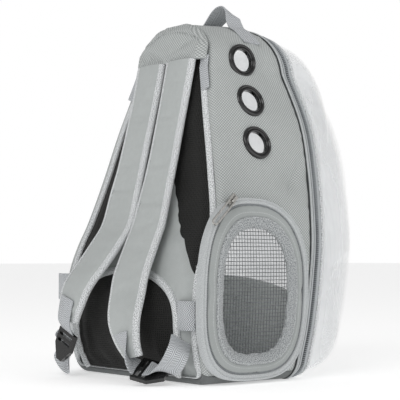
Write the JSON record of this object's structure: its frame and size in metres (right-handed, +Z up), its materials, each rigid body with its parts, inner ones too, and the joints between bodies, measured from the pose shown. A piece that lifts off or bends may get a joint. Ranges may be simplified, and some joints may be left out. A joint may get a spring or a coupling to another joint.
{
  "type": "bubble pet carrier backpack",
  "caption": "Soft backpack for carrying a small pet, with a clear domed front, a netted side door, ring air holes, padded shoulder straps and a top handle.",
  "frame": {"origin": "middle of the flat base, on the surface it stands on", "axes": "+Z up, the clear domed front faces -Y, the wearer's back is +Y, the netted door is on -X"},
  "size_m": [0.2886, 0.3522, 0.447],
  "materials": {
    "grey_fabric": "matt woven oxford cloth",
    "dark_fabric": "matt dark cloth",
    "light_binding": "matt woven tape",
    "webbing": "matt herringbone webbing",
    "black_mesh": "soft air mesh",
    "netting": "fine woven net",
    "black_plastic": "gloss moulded plastic",
    "zip_teeth": "matt nylon zip coil",
    "clear_plastic": "gloss clear moulded sheet",
    "pale_rim": "matt cloth rim",
    "bright_metal": "plated zinc"
  },
  "bodies": {
    "bag": {"side_panel_left": "grey_fabric", "side_panel_right": "grey_fabric", "base_panel": "dark_fabric", "eyelet_top": "black_plastic", "eyelet_middle": "black_plastic", "eyelet_bottom": "black_plastic", "back_board": "dark_fabric", "lumbar_surround": "grey_fabric", "lumbar_pad": "black_mesh", "lumbar_binding": "light_binding", "back_mesh": "black_mesh", "back_binding": "light_binding", "seam_piping": "light_binding", "zip_tape_inner": "grey_fabric", "zip_coil": "zip_teeth", "zip_tape_outer": "grey_fabric", "bubble_flange": "pale_rim", "bubble": "clear_plastic", "door_zip_tape": "light_binding", "door_zip_coil": "dark_fabric", "door_panel": "grey_fabric", "window_binding": "light_binding", "window_net": "netting", "door_slider": "bright_metal", "yoke": "grey_fabric", "strap_left": "grey_fabric", "strap_left_binding_inner": "light_binding", "strap_left_binding_outer": "light_binding", "strap_left_tab": "webbing", "buckle_left": "black_plastic", "strap_right": "grey_fabric", "strap_right_binding_inner": "light_binding", "strap_right_binding_outer": "light_binding", "strap_right_tab": "webbing", "buckle_right": "black_plastic", "top_handle": "webbing", "webbing_left": "webbing", "webbing_right": "webbing", "side_band_left": "webbing", "side_band_right": "webbing", "patch_left": "webbing", "patch_right": "webbing", "inner_panel": "grey_fabric"},
    "pull": {"door_zip_pull": "bright_metal"}
  },
  "joints": [
    {"name": "door_zip_pull_hinge", "type": "hinge", "parent": "bag", "child": "pull", "pos_m": [-0.14063, 0.03781, 0.20267], "axis": [0.2315, 0.6399, 0.7327], "range_deg": [0, 165]}
  ]
}
